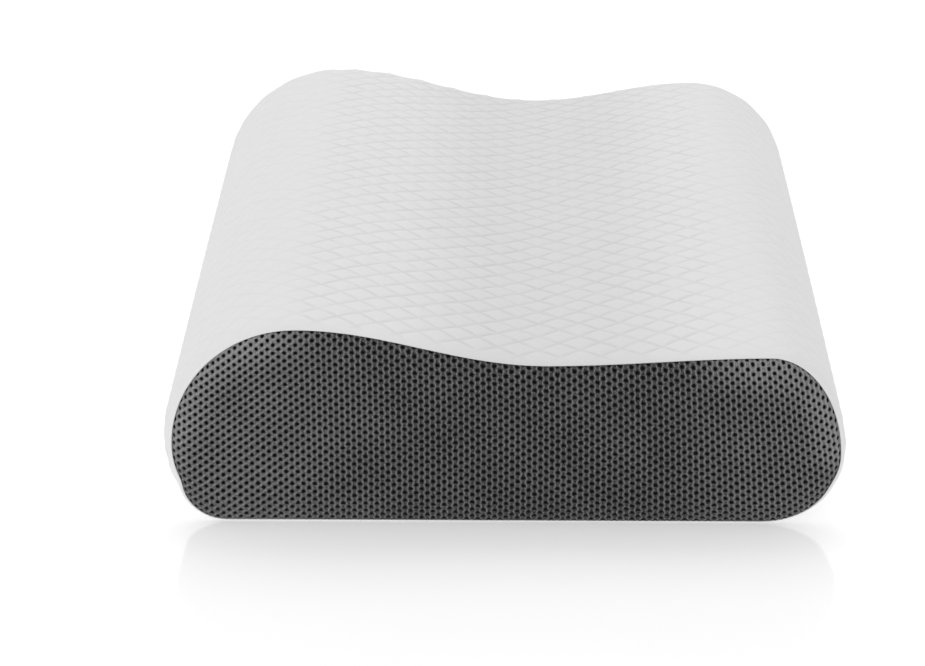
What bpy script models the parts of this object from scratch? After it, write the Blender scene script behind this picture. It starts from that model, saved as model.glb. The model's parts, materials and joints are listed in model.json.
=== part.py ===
"""A contoured neck pillow: a foam body in a quilted knit wrap, closed at each end by a spacer-mesh panel.

X runs across the pillow, from the high lobe (-X) to the low lobe (+X). Y runs along its length, with the
near end at -Y. Z is up. The origin is on the floor under the middle of the pillow. Everything is in metres.
"""

import collections
import math

import bmesh
import bpy
import numpy as np

# Overall size
LENGTH = 0.600
DEPTH = 0.400

# Girth: where the outline is widest on each side, and where the flat underside starts and ends
SIDE_LEFT_Z = 0.0465
SIDE_RIGHT_Z = 0.0420
FLAT_LEFT_X = -0.1615
FLAT_RIGHT_X = 0.1500

# Crests of the two lobes and bottom of the dip between them, at each end of the length
Lobes = collections.namedtuple("Lobes", "high_x high_z dip_x dip_z low_x low_z")
NEAR_LOBES = Lobes(high_x=-0.1215, high_z=0.123, dip_x=0.0255, dip_z=0.101, low_x=0.1545, low_z=0.1055)
FAR_LOBES = Lobes(high_x=-0.117, high_z=0.123, dip_x=0.0215, dip_z=0.100, low_x=0.1315, low_z=0.113)
CROWN = 0.002
CROWN_FROM_Z = 0.090

# Rounding of the two ends, from the straight wrap to the flat middle of the end panel: how far in from the
# outline it reaches at each side, how far along the length, and where on its quarter turn the seam lies
ROUND_LEFT = 0.0198
ROUND_RIGHT = 0.0142
ROUND_LENGTHWISE_AT_FLOOR = 0.010
SEAM_ANGLE = math.radians(45)
SEAM_ANGLE_AT_FLOOR = math.radians(72)
FLOOR_SHAPE_ENDS_Z = 0.024
SEAM_TUCK = 0.0010

# End panels of spacer mesh
PANEL_THICK = 0.003
PANEL_GAP = 0.0003
PANEL_RINGS = 4

# Diamond quilting of the wrap: its repeats, its depth, one diamond that sets where the rest fall, and the
# least share of a half repeat that a cut-off cell at an edge may have
QUILT_ROUND = 0.0238
QUILT_ALONG_NEAR = 0.0224
QUILT_ALONG_FAR = 0.0194
QUILT_DEPTH = 0.0015
QUILT_CENTRE_X = 0.044
QUILT_CENTRE_Y = -0.2435
QUILT_FADES_OVER = 0.012
LEAST_CELL = 0.4

# Fineness of the curves that the grids are read from
ARC_STEPS = 60
GIRTH_STEPS = 2400
TURN_STEPS = 40

Finish = collections.namedtuple("Finish", "colour roughness metallic")
WHITE_KNIT = Finish(colour=(0.83, 0.84, 0.86), roughness=0.85, metallic=0.0)
GREY_MESH = Finish(colour=(0.075, 0.076, 0.080), roughness=0.70, metallic=0.0)


def smooth_step(value):
    t = np.clip(value, 0.0, 1.0)
    return t * t * (3.0 - 2.0 * t)


def quarter(centre, radii, start):
    """A quarter of an ellipse, turning anticlockwise from the start angle, without its last point."""
    angle = np.linspace(start, start + math.pi / 2, ARC_STEPS, endpoint=False)
    return np.c_[centre[0] + radii[0] * np.cos(angle), centre[1] + radii[1] * np.sin(angle)]


def wave(start, end):
    """Half a cosine wave from one level point to another, without its last point."""
    share = np.linspace(0.0, 1.0, ARC_STEPS, endpoint=False)
    rise = (1.0 - np.cos(math.pi * share)) / 2.0
    return np.c_[start[0] + (end[0] - start[0]) * share, start[1] + (end[1] - start[1]) * rise]


def outline(lobes):
    """The wrap's outline (x, z), from the flat underside's right edge, over the top, to its left edge."""
    side = DEPTH / 2
    return np.concatenate([
        quarter((FLAT_RIGHT_X, SIDE_RIGHT_Z), (side - FLAT_RIGHT_X, SIDE_RIGHT_Z), -math.pi / 2),
        quarter((lobes.low_x, SIDE_RIGHT_Z), (side - lobes.low_x, lobes.low_z - SIDE_RIGHT_Z), 0.0),
        wave((lobes.low_x, lobes.low_z), (lobes.dip_x, lobes.dip_z)),
        wave((lobes.dip_x, lobes.dip_z), (lobes.high_x, lobes.high_z)),
        quarter((lobes.high_x, SIDE_LEFT_Z), (lobes.high_x + side, lobes.high_z - SIDE_LEFT_Z), math.pi / 2),
        quarter((FLAT_LEFT_X, SIDE_LEFT_Z), (FLAT_LEFT_X + side, SIDE_LEFT_Z), math.pi),
        [(FLAT_LEFT_X, 0.0)],
    ])


def lengths_along(points):
    return np.r_[0.0, np.cumsum(np.linalg.norm(np.diff(points, axis=0), axis=1))]


def read_outline(lobes, shares):
    """Points and outward normals of the outline at the given shares of its length."""
    points = outline(lobes)
    run = lengths_along(points)
    even = np.linspace(0.0, run[-1], GIRTH_STEPS)
    fine = np.c_[np.interp(even, run, points[:, 0]), np.interp(even, run, points[:, 1])]
    tangent = np.gradient(fine, axis=0)
    tangent[0] = (1.0, 0.0)
    tangent[-1] = (1.0, 0.0)
    normal = np.c_[tangent[:, 1], -tangent[:, 0]]
    at = shares * (GIRTH_STEPS - 1)
    step = np.arange(GIRTH_STEPS)
    place = np.c_[np.interp(at, step, fine[:, 0]), np.interp(at, step, fine[:, 1])]
    facing = np.c_[np.interp(at, step, normal[:, 0]), np.interp(at, step, normal[:, 1])]
    return place, facing / np.linalg.norm(facing, axis=1)[:, None]


def lobes_at(share):
    return Lobes(*(a + (b - a) * share for a, b in zip(NEAR_LOBES, FAR_LOBES)))


def girth_columns():
    """Shares of the outline where the quilting grid's columns run, and each one's count of half repeats."""
    share_at_centre = (QUILT_CENTRE_Y + LENGTH / 2) / LENGTH
    points = outline(lobes_at(share_at_centre))
    run = lengths_along(points)
    over_top = (points[:, 1] > SIDE_LEFT_Z) & (points[:, 1] > SIDE_RIGHT_Z)
    centre = np.interp(-QUILT_CENTRE_X, -points[over_top, 0], run[over_top])
    half = QUILT_ROUND / 2
    first = math.ceil(LEAST_CELL - centre / half)
    last = math.floor((run[-1] - centre) / half - LEAST_CELL)
    counts = np.arange(first, last + 1)
    shares = (centre + counts * half) / run[-1]
    return np.r_[0.0, shares, 1.0], np.r_[first - 1, counts, last + 1]


def length_rows(seam):
    """Distances along the wrap where the rows of the quilting grid run, short of the seam at each end."""
    def step(v):
        share = (v + LENGTH / 2) / LENGTH
        return (QUILT_ALONG_NEAR + (QUILT_ALONG_FAR - QUILT_ALONG_NEAR) * share) / 2

    rows = {0: QUILT_CENTRE_Y}
    while rows[max(rows)] + (1 + LEAST_CELL) * step(rows[max(rows)]) < seam:
        rows[max(rows) + 1] = rows[max(rows)] + step(rows[max(rows)])
    while rows[min(rows)] - (1 + LEAST_CELL) * step(rows[min(rows)]) > -seam:
        rows[min(rows) - 1] = rows[min(rows)] - step(rows[min(rows)])
    return sorted(rows.items())


class Skin:
    """The pillow's outer surface, read at fixed shares of the girth."""

    def __init__(self, shares):
        self.near, near_facing = read_outline(NEAR_LOBES, shares)
        self.far, far_facing = read_outline(FAR_LOBES, shares)
        self.facing = near_facing + far_facing
        self.facing /= np.linalg.norm(self.facing, axis=1)[:, None]
        middle = (self.near + self.far) / 2
        across = (middle[:, 0] + DEPTH / 2) / DEPTH
        off_floor = smooth_step(middle[:, 1] / FLOOR_SHAPE_ENDS_Z)
        self.inward = ROUND_LEFT + (ROUND_RIGHT - ROUND_LEFT) * across
        self.lengthwise = ROUND_LENGTHWISE_AT_FLOOR + (self.inward - ROUND_LENGTHWISE_AT_FLOOR) * off_floor
        self.seam = SEAM_ANGLE_AT_FLOOR + (SEAM_ANGLE - SEAM_ANGLE_AT_FLOOR) * off_floor
        self.straight = LENGTH / 2 - self.lengthwise
        self.turn = np.linspace(0.0, math.pi / 2, TURN_STEPS)
        inward_pace = np.outer(self.inward, np.sin(self.turn))
        pace = np.hypot(inward_pace, np.outer(self.lengthwise, np.cos(self.turn)))
        steps = (pace[:, 1:] + pace[:, :-1]) / 2 * self.turn[1]
        self.turn_run = np.c_[np.zeros(len(shares)), np.cumsum(steps, axis=1)]
        self.seam_run = self.straight + self.along_turn(math.pi / 2 - self.seam, self.turn, self.turn_run)

    def place(self, inset, y):
        """World points at a depth under the outline, for a value of y in each column."""
        share = ((y + LENGTH / 2) / LENGTH)[:, None]
        flat = self.near * (1 - share) + self.far * share - self.facing * inset[:, None]
        lift = CROWN * (1 - (2 * y / LENGTH) ** 2) * np.clip(flat[:, 1] / CROWN_FROM_Z, 0.0, 1.0)
        return np.c_[flat[:, 0], y, flat[:, 1] + lift]

    def along_turn(self, at, known, wanted):
        """Reads one quantity of the rounding from another, column by column."""
        known = np.broadcast_to(known, self.turn_run.shape)
        wanted = np.broadcast_to(wanted, self.turn_run.shape)
        return np.array([np.interp(*column) for column in zip(at, known, wanted)])

    def at_angle(self, end, angle, under):
        """A ring round one end: 90 degrees is the straight wrap, 0 is the flat middle of the panel."""
        inset = self.inward - (self.inward - under) * np.sin(angle)
        y = self.straight + (self.lengthwise - under) * np.cos(angle)
        return self.place(inset, end * y)

    def at_run(self, v, under):
        """A row at one distance along the wrap from its middle, bent over the rounding near the ends."""
        past = np.maximum(abs(v) - self.straight, 0.0)
        angle = math.pi / 2 - self.along_turn(past, self.turn_run, self.turn)
        turned = self.at_angle(math.copysign(1.0, v), angle, under)
        level = self.place(under, np.full(len(past), v))
        return np.where(past[:, None] > 0.0, turned, level)


def quilt_relief(skin, v, row, counts):
    """How far each point of a row lies under the tops of the diamonds."""
    low = (counts + row) % 2 == 1
    height = (skin.near[:, 1] + skin.far[:, 1]) / 2
    fade = smooth_step(height / QUILT_FADES_OVER) * smooth_step((skin.seam_run - abs(v)) / QUILT_FADES_OVER)
    return np.where(low, QUILT_DEPTH, 0.0) * fade


def add_ring(mesh, points):
    return [mesh.verts.new(point) for point in points]


def join_rings(mesh, first, second, fold):
    """Triangles between two closed rings. A True in fold turns that cell's fold line the other way."""
    count = len(first)
    for i in range(count):
        j = (i + 1) % count
        a, b, c, d = first[i], first[j], second[j], second[i]
        if fold[i]:
            mesh.faces.new((a, b, d))
            mesh.faces.new((b, c, d))
        else:
            mesh.faces.new((a, b, c))
            mesh.faces.new((a, c, d))


def add_part(name, mesh, finish, collection):
    bmesh.ops.recalc_face_normals(mesh, faces=mesh.faces)
    data = bpy.data.meshes.new(name)
    mesh.to_mesh(data)
    mesh.free()
    part = bpy.data.objects.new(name, data)
    material = bpy.data.materials.new(name + "_finish")
    material.use_nodes = True
    shader = material.node_tree.nodes["Principled BSDF"]
    shader.inputs["Base Color"].default_value = (*finish.colour, 1.0)
    shader.inputs["Roughness"].default_value = finish.roughness
    shader.inputs["Metallic"].default_value = finish.metallic
    data.materials.append(material)
    collection.objects.link(part)
    return part


def add_body(collection):
    """The filled body: quilted rows from end to end, then a seat under each end panel."""
    shares, counts = girth_columns()
    skin = Skin(shares)
    rows = length_rows(skin.seam_run.min())
    seat_under = PANEL_THICK + PANEL_GAP
    ledge = skin.seam + PANEL_GAP / skin.lengthwise
    sections = []
    for end, numbered in ((-1, rows[:1]), (1, rows[-1:])):
        seat = [skin.at_angle(end, ledge * k / PANEL_RINGS, seat_under) for k in range(PANEL_RINGS + 1)]
        seam = skin.at_angle(end, ledge, SEAM_TUCK)
        sections.append(seat + [seam] if end < 0 else [seam] + seat[::-1])
    quilted = [skin.at_run(v, quilt_relief(skin, v, row, counts)) for row, v in rows]

    mesh = bmesh.new()
    rings = [add_ring(mesh, points) for points in sections[0] + quilted + sections[1]]
    straight = np.zeros(len(shares), bool)
    before = len(sections[0])
    for k in range(len(rings) - 1):
        row = k - before
        inside = 0 <= row < len(rows) - 1
        fold = (counts + rows[row][0]) % 2 == 0 if inside else straight
        join_rings(mesh, rings[k], rings[k + 1], fold)
    mesh.faces.new(rings[0])
    mesh.faces.new(rings[-1])
    return add_part("quilted_cover_body", mesh, WHITE_KNIT, collection)


def add_panel(name, end, collection):
    """An end panel: a shell that follows the rounding of the end from the seam to its flat middle."""
    shares, _ = girth_columns()
    skin = Skin(shares)
    steps = [k / PANEL_RINGS for k in range(PANEL_RINGS + 1)]
    tuck = [SEAM_TUCK if step == 1.0 else 0.0 for step in steps]
    outer = [skin.at_angle(end, skin.seam * step, under) for step, under in zip(steps, tuck)]
    inner = [skin.at_angle(end, skin.seam * step, PANEL_THICK) for step in reversed(steps)]

    mesh = bmesh.new()
    rings = [add_ring(mesh, points) for points in outer + inner]
    straight = np.zeros(len(shares), bool)
    for first, second in zip(rings, rings[1:]):
        join_rings(mesh, first, second, straight)
    mesh.faces.new(rings[0])
    mesh.faces.new(rings[-1])
    return add_part(name, mesh, GREY_MESH, collection)


def clear_scene():
    for thing in list(bpy.data.objects):
        bpy.data.objects.remove(thing, do_unlink=True)


def main():
    clear_scene()
    collection = bpy.data.collections.new("contoured_neck_pillow")
    bpy.context.scene.collection.children.link(collection)
    add_body(collection)
    add_panel("near_mesh_panel", -1, collection)
    add_panel("far_mesh_panel", 1, collection)


main()
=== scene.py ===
# %% [markdown]
# # A contoured neck pillow in Blender
# The real object is one block of foam with a high lobe, a dip and a low lobe. A white quilted knit is
# wrapped round its girth, and a panel of dark grey spacer mesh closes each end. This lesson dresses the
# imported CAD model: every piece below is built in the same metres and the same place as its CAD solid.

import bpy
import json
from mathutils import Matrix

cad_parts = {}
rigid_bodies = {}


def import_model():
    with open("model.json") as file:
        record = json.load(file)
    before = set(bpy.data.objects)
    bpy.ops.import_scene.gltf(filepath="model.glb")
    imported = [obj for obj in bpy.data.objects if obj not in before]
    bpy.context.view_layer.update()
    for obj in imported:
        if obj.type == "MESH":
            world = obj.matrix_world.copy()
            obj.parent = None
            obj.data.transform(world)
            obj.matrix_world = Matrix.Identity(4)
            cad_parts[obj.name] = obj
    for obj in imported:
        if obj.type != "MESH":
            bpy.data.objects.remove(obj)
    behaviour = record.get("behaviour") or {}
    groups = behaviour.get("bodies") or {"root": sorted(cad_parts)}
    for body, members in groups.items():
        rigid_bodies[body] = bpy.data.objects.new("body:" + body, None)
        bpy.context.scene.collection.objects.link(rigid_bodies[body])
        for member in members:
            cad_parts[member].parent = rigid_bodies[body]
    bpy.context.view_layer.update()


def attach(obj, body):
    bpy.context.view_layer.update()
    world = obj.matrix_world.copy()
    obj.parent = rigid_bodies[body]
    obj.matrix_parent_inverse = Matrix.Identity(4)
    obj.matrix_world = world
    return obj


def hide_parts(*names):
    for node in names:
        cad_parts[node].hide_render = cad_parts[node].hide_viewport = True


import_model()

# %% Tools used below
import collections
import json
import math

import bmesh
import bpy
import numpy as np
from mathutils import Vector, kdtree

# %% [markdown]
# ## The camera
# The camera looks down at the near end from far away, through a long lens, so the pillow's sides run back
# almost parallel. Its place, turn and lens come from fitting the pillow's outline to the photograph.

# %% Camera
LENS_MM = 151.84
SENSOR_MM = 36.0
CAMERA_PLACE = (0.0021, -2.4264, 0.8274)
CAMERA_PITCH_DOWN = 0.3219
CAMERA_YAW = 0.0123

camera_data = bpy.data.cameras.new("camera")
camera_data.lens = LENS_MM
camera_data.sensor_width = SENSOR_MM
camera = bpy.data.objects.new("camera", camera_data)
camera.location = CAMERA_PLACE
camera.rotation_euler = (math.pi / 2 - CAMERA_PITCH_DOWN, 0.0, CAMERA_YAW)
bpy.context.scene.collection.objects.link(camera)
bpy.context.scene.camera = camera
print("camera at", CAMERA_PLACE)

# %% [markdown]
# ## The pillow's shape
# A foam cutter describes this pillow by one outline across it, which changes a little from the near end to
# the far one. The outline is two quarter rounds at each side, joined over the top by two half waves and
# closed by a flat underside. The numbers are the same as in the CAD source, so cloth and solid agree.

# %% Sizes of the pillow
LENGTH = 0.600
DEPTH = 0.400
SIDE_LEFT_Z = 0.0465
SIDE_RIGHT_Z = 0.0420
FLAT_LEFT_X = -0.1615
FLAT_RIGHT_X = 0.1500
Lobes = collections.namedtuple("Lobes", "high_x high_z dip_x dip_z low_x low_z")
NEAR_LOBES = Lobes(high_x=-0.1215, high_z=0.123, dip_x=0.0255, dip_z=0.101, low_x=0.1545, low_z=0.1055)
FAR_LOBES = Lobes(high_x=-0.117, high_z=0.123, dip_x=0.0215, dip_z=0.100, low_x=0.1315, low_z=0.113)
CROWN = 0.002
CROWN_FROM_Z = 0.090
ARC_STEPS = 60
GIRTH_STEPS = 2400


# %% The outline across the pillow
def quarter(centre, radii, start):
    """A quarter of an ellipse, anticlockwise from the start angle, without its last point."""
    angle = np.linspace(start, start + math.pi / 2, ARC_STEPS, endpoint=False)
    return np.c_[centre[0] + radii[0] * np.cos(angle), centre[1] + radii[1] * np.sin(angle)]


def wave(start, end):
    """Half a cosine wave from one level point to another, without its last point."""
    share = np.linspace(0.0, 1.0, ARC_STEPS, endpoint=False)
    rise = (1.0 - np.cos(math.pi * share)) / 2.0
    return np.c_[start[0] + (end[0] - start[0]) * share, start[1] + (end[1] - start[1]) * rise]


def outline(lobes):
    """The outline (x, z) from the underside's right edge, over the top, to its left edge."""
    side = DEPTH / 2
    return np.concatenate([
        quarter((FLAT_RIGHT_X, SIDE_RIGHT_Z), (side - FLAT_RIGHT_X, SIDE_RIGHT_Z), -math.pi / 2),
        quarter((lobes.low_x, SIDE_RIGHT_Z), (side - lobes.low_x, lobes.low_z - SIDE_RIGHT_Z), 0.0),
        wave((lobes.low_x, lobes.low_z), (lobes.dip_x, lobes.dip_z)),
        wave((lobes.dip_x, lobes.dip_z), (lobes.high_x, lobes.high_z)),
        quarter((lobes.high_x, SIDE_LEFT_Z), (lobes.high_x + side, lobes.high_z - SIDE_LEFT_Z), math.pi / 2),
        quarter((FLAT_LEFT_X, SIDE_LEFT_Z), (FLAT_LEFT_X + side, SIDE_LEFT_Z), math.pi),
        [(FLAT_LEFT_X, 0.0)],
    ])


def lobes_at(share):
    return Lobes(*(a + (b - a) * share for a, b in zip(NEAR_LOBES, FAR_LOBES)))


def lengths_along(points):
    return np.r_[0.0, np.cumsum(np.linalg.norm(np.diff(points, axis=0), axis=1))]


print("outline over the top: %.3f m near, %.3f m far" % (
    lengths_along(outline(NEAR_LOBES))[-1], lengths_along(outline(FAR_LOBES))[-1]))

# %% [markdown]
# A station on the girth is a number from 0 to 2. From 0 to 1 it runs over the top, and from 1 to 2 it comes
# back along the flat underside. Reading place and outward direction at a station is all that the cloth needs.


# %% Reading the outline at stations
def read_outline(lobes, stations):
    """Points and outward directions of the outline at the given stations."""
    points = outline(lobes)
    run = lengths_along(points)
    even = np.linspace(0.0, run[-1], GIRTH_STEPS)
    fine = np.c_[np.interp(even, run, points[:, 0]), np.interp(even, run, points[:, 1])]
    tangent = np.gradient(fine, axis=0)
    tangent[0] = (1.0, 0.0)
    tangent[-1] = (1.0, 0.0)
    outward = np.c_[tangent[:, 1], -tangent[:, 0]]
    at = np.clip(stations, 0.0, 1.0) * (GIRTH_STEPS - 1)
    step = np.arange(GIRTH_STEPS)
    place = np.c_[np.interp(at, step, fine[:, 0]), np.interp(at, step, fine[:, 1])]
    facing = np.c_[np.interp(at, step, outward[:, 0]), np.interp(at, step, outward[:, 1])]
    under = stations > 1.0
    place[under, 0] = FLAT_LEFT_X + (FLAT_RIGHT_X - FLAT_LEFT_X) * (stations[under] - 1.0)
    place[under, 1] = 0.0
    facing[under] = (0.0, -1.0)
    return place, facing / np.linalg.norm(facing, axis=1)[:, None]


# %% [markdown]
# ## The rounded ends
# At each end the surface turns a quarter from the wrap into the flat of the end panel. Near the floor that
# turn is tighter. The seam between wrap and mesh lies part of the way round it, so a narrow white rim shows
# from the front. Skin holds one girth of stations and gives points on the surface or at a depth under it.

# %% Sizes of the rounding
ROUND_LEFT = 0.0198
ROUND_RIGHT = 0.0142
ROUND_LENGTHWISE_AT_FLOOR = 0.0055
SEAM_ANGLE_LEFT = math.radians(45)
SEAM_ANGLE_RIGHT = math.radians(50)
SEAM_ANGLE_AT_FLOOR = math.radians(90)
FLOOR_SHAPE_ENDS_Z = 0.024
TURN_STEPS = 40


# %% The surface
def smooth_step(value):
    t = np.clip(value, 0.0, 1.0)
    return t * t * (3.0 - 2.0 * t)


class Skin:
    """The pillow's outer surface, read at fixed stations of the girth."""

    def __init__(self, stations):
        self.near, near_facing = read_outline(NEAR_LOBES, stations)
        self.far, far_facing = read_outline(FAR_LOBES, stations)
        self.facing = near_facing + far_facing
        self.facing /= np.linalg.norm(self.facing, axis=1)[:, None]
        middle = (self.near + self.far) / 2
        self.height = middle[:, 1]
        across = (middle[:, 0] + DEPTH / 2) / DEPTH
        off_floor = smooth_step(middle[:, 1] / FLOOR_SHAPE_ENDS_Z)
        self.inward = ROUND_LEFT + (ROUND_RIGHT - ROUND_LEFT) * across
        self.lengthwise = ROUND_LENGTHWISE_AT_FLOOR + (self.inward - ROUND_LENGTHWISE_AT_FLOOR) * off_floor
        seam_above = SEAM_ANGLE_LEFT + (SEAM_ANGLE_RIGHT - SEAM_ANGLE_LEFT) * across
        self.seam = SEAM_ANGLE_AT_FLOOR + (seam_above - SEAM_ANGLE_AT_FLOOR) * off_floor
        self.straight = LENGTH / 2 - self.lengthwise
        self.turn = np.linspace(0.0, math.pi / 2, TURN_STEPS)
        inward_pace = np.outer(self.inward, np.sin(self.turn))
        pace = np.hypot(inward_pace, np.outer(self.lengthwise, np.cos(self.turn)))
        steps = (pace[:, 1:] + pace[:, :-1]) / 2 * self.turn[1]
        self.turn_run = np.c_[np.zeros(len(stations)), np.cumsum(steps, axis=1)]
        self.seam_run = self.straight + self.read_turn(math.pi / 2 - self.seam, self.turn, self.turn_run)
        self.whole_run = self.straight + self.turn_run[:, -1]

    def read_turn(self, at, known, wanted):
        """Reads one quantity of the rounding from another, station by station."""
        known = np.broadcast_to(known, self.turn_run.shape)
        wanted = np.broadcast_to(wanted, self.turn_run.shape)
        return np.array([np.interp(*row) for row in zip(at, known, wanted)])

    def run_at(self, angle):
        """Distance round the turn at an angle of each station."""
        place = np.clip(angle / self.turn[1], 0.0, TURN_STEPS - 1.001)
        step = place.astype(int)
        row = np.arange(len(place))
        low = self.turn_run[row, step]
        return low + (self.turn_run[row, step + 1] - low) * (place - step)

    def place(self, inset, y):
        share = ((y + LENGTH / 2) / LENGTH)[:, None]
        flat = self.near * (1 - share) + self.far * share - self.facing * inset[:, None]
        lift = CROWN * (1 - (2 * y / LENGTH) ** 2) * np.clip(flat[:, 1] / CROWN_FROM_Z, 0.0, 1.0)
        return np.c_[flat[:, 0], y, flat[:, 1] + lift]

    def at_run(self, end, run, under):
        """Points at a distance along the cloth from the pillow's middle towards one end, at a depth under it."""
        past = np.clip(run - self.straight, 0.0, self.turn_run[:, -1])
        angle = math.pi / 2 - self.read_turn(past, self.turn_run, self.turn)
        inset = self.inward - (self.inward - under) * np.sin(angle)
        y = np.minimum(run, self.straight) + (self.lengthwise - under) * np.cos(angle)
        return self.place(inset, end * y)


middle_of_top = Skin(np.array([0.5]))
print("a point on top of the pillow:", middle_of_top.at_run(1, np.zeros(1), np.zeros(1)).round(4))

# %% [markdown]
# ## Laying out the quilting
# The diamonds repeat about every 24 mm round the girth and every 19 to 22 mm along the length. The body's
# grid has whole steps in each repeat, so the stitched valleys fall exactly on its diagonals. Round the
# underside the repeat is eased by a hair, so that a whole number of diamonds closes the girth.

# %% Quilting layout
QUILT_ROUND = 0.0238
QUILT_ALONG_NEAR = 0.0224
QUILT_ALONG_FAR = 0.0194
QUILT_CENTRE_X = 0.044
QUILT_CENTRE_Y = -0.2435
STEPS_PER_REPEAT = 8
UNDERSIDE = FLAT_RIGHT_X - FLAT_LEFT_X


def girth_grid():
    """Stations of the grid's columns, the distance round the girth at each, and each one's step count."""
    points = outline(lobes_at((QUILT_CENTRE_Y + LENGTH / 2) / LENGTH))
    run = lengths_along(points)
    over_top = points[:, 1] > max(SIDE_LEFT_Z, SIDE_RIGHT_Z)
    centre = np.interp(-QUILT_CENTRE_X, -points[over_top, 0], run[over_top])
    step = QUILT_ROUND / STEPS_PER_REPEAT
    first = math.ceil(-centre / step)
    last = math.floor((run[-1] - centre) / step)
    top = centre + step * np.arange(first, last + 1)
    girth = run[-1] + UNDERSIDE
    columns = STEPS_PER_REPEAT * round(girth / QUILT_ROUND)
    below = np.linspace(top[-1], girth + top[0], columns - len(top) + 2)[1:-1]
    distance = np.r_[top, below]
    past_top = 1.0 + (distance - run[-1]) / UNDERSIDE
    stations = np.where(distance <= run[-1], distance / run[-1], past_top)
    wrapped = distance > girth
    stations[wrapped] = (distance[wrapped] - girth) / run[-1]
    return stations, distance, first + np.arange(columns)


def length_grid(limit):
    """Distances along the length of the grid's rows, up to a limit either way, and their step counts."""
    reach = range(-40, 41)
    half_rows = {0: QUILT_CENTRE_Y}
    for sign in (1, -1):
        for row in range(0, 60):
            here = half_rows[sign * row]
            share = (here + LENGTH / 2) / LENGTH
            repeat = QUILT_ALONG_NEAR + (QUILT_ALONG_FAR - QUILT_ALONG_NEAR) * share
            half_rows[sign * (row + 1)] = here + sign * repeat / 2
    numbers = sorted(half_rows)
    counts = np.arange(numbers[0] * STEPS_PER_REPEAT // 2, numbers[-1] * STEPS_PER_REPEAT // 2 + 1)
    along = np.interp(counts * 2 / STEPS_PER_REPEAT, numbers, [half_rows[n] for n in numbers])
    kept = abs(along) <= limit
    return along[kept], counts[kept]


stations, girth_distance, column_counts = girth_grid()
skin = Skin(stations)
print("columns round the girth:", len(stations), "seam at", skin.seam_run.min().round(4), "to",
      skin.seam_run.max().round(4))

# %% [markdown]
# ## Letting the foam push the cloth out
# A padded cover is never as straight as its pattern: the filling pushes it out between the seams. A coarse
# copy of the wrap starts slightly small, is held along both seams and under the pillow, and Blender's Cloth
# blows it up with no gravity. The foam under it would hold most of that movement back, above all in the dip,
# so the movement is scaled down until its largest value is a part of a millimetre. It is eased as it is
# handed on to the fine grid.

# %% Cloth simulation of the wrap
PAD_STARTS_UNDER = 0.0004
PAD_MOVES_AT_MOST = 0.0008
PAD_ROWS = 49
PAD_COLUMN_STEP = 4
PAD_FRAMES = 20
PAD_PRESSURE = 0.15
PAD_TENSION = 80.0
PAD_FREE_ABOVE_Z = 0.030


def loft(rings):
    """Faces that join closed rings of the same number of points, listed ring after ring."""
    count = len(rings[0])
    index = np.arange(len(rings) * count).reshape(len(rings), count)
    after = np.roll(index, -1, axis=1)
    return np.stack([index[:-1], after[:-1], after[1:], index[1:]], axis=-1).reshape(-1, 4)


def pad_wrap():
    """How far the simulated wrap moves at each coarse row and column, as vectors."""
    coarse = Skin(stations[::PAD_COLUMN_STEP])
    under = np.full(len(coarse.height), PAD_STARTS_UNDER)
    levels = np.linspace(-1.0, 1.0, PAD_ROWS)
    rings = [coarse.at_run(math.copysign(1.0, x), abs(x) * coarse.seam_run, under) for x in levels]
    start = np.concatenate(rings)
    mesh = bpy.data.meshes.new("padding")
    mesh.from_pydata(start.tolist(), [], loft(rings)[:, ::-1].tolist())
    pad = bpy.data.objects.new("padding", mesh)
    bpy.context.scene.collection.objects.link(pad)
    held = np.zeros((PAD_ROWS, len(coarse.height)), bool)
    held[0] = held[-1] = True
    held[:, coarse.height < 1e-6] = True
    pad.vertex_groups.new(name="held").add(np.flatnonzero(held).tolist(), 1.0, "REPLACE")
    cloth = pad.modifiers.new("cloth", "CLOTH")
    cloth.settings.quality = 6
    cloth.settings.mass = 0.2
    cloth.settings.tension_stiffness = PAD_TENSION
    cloth.settings.compression_stiffness = PAD_TENSION
    cloth.settings.use_pressure = True
    cloth.settings.uniform_pressure_force = PAD_PRESSURE
    cloth.settings.vertex_group_mass = "held"
    cloth.settings.effector_weights.gravity = 0.0
    for number in range(1, PAD_FRAMES + 1):
        bpy.context.scene.frame_set(number)
    blown = pad.evaluated_get(bpy.context.evaluated_depsgraph_get()).to_mesh()
    end = np.empty(len(start) * 3)
    blown.vertices.foreach_get("co", end)
    bpy.data.objects.remove(pad)
    bpy.context.scene.frame_set(1)
    return (end.reshape(-1, 3) - start).reshape(PAD_ROWS, -1, 3)


def ease(field, axis, times=3):
    """Averages each value with its neighbours, round the girth or along the length."""
    for _ in range(times):
        if axis == 1:
            field = (np.roll(field, 1, axis=1) + 2 * field + np.roll(field, -1, axis=1)) / 4
        else:
            ends = np.concatenate([field[:1], field, field[-1:]])
            field = (ends[:-2] + 2 * field + ends[2:]) / 4
    return field


swell = pad_wrap()
moved = np.linalg.norm(swell, axis=2)
swell = swell * min(1.0, PAD_MOVES_AT_MOST / max(moved.max(), 1e-9))
print("padding moved the cloth by up to %.2f mm, kept %.2f mm" % (
    moved.max() * 1000, np.linalg.norm(swell, axis=2).max() * 1000))

# %% [markdown]
# ## A small workbench for node trees
# Shader and geometry trees both need a lot of arithmetic. Wire wraps one socket, and Python's own operators
# add the Math nodes, so a formula reads as a formula. Bench adds every other kind of node with one method.


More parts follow.
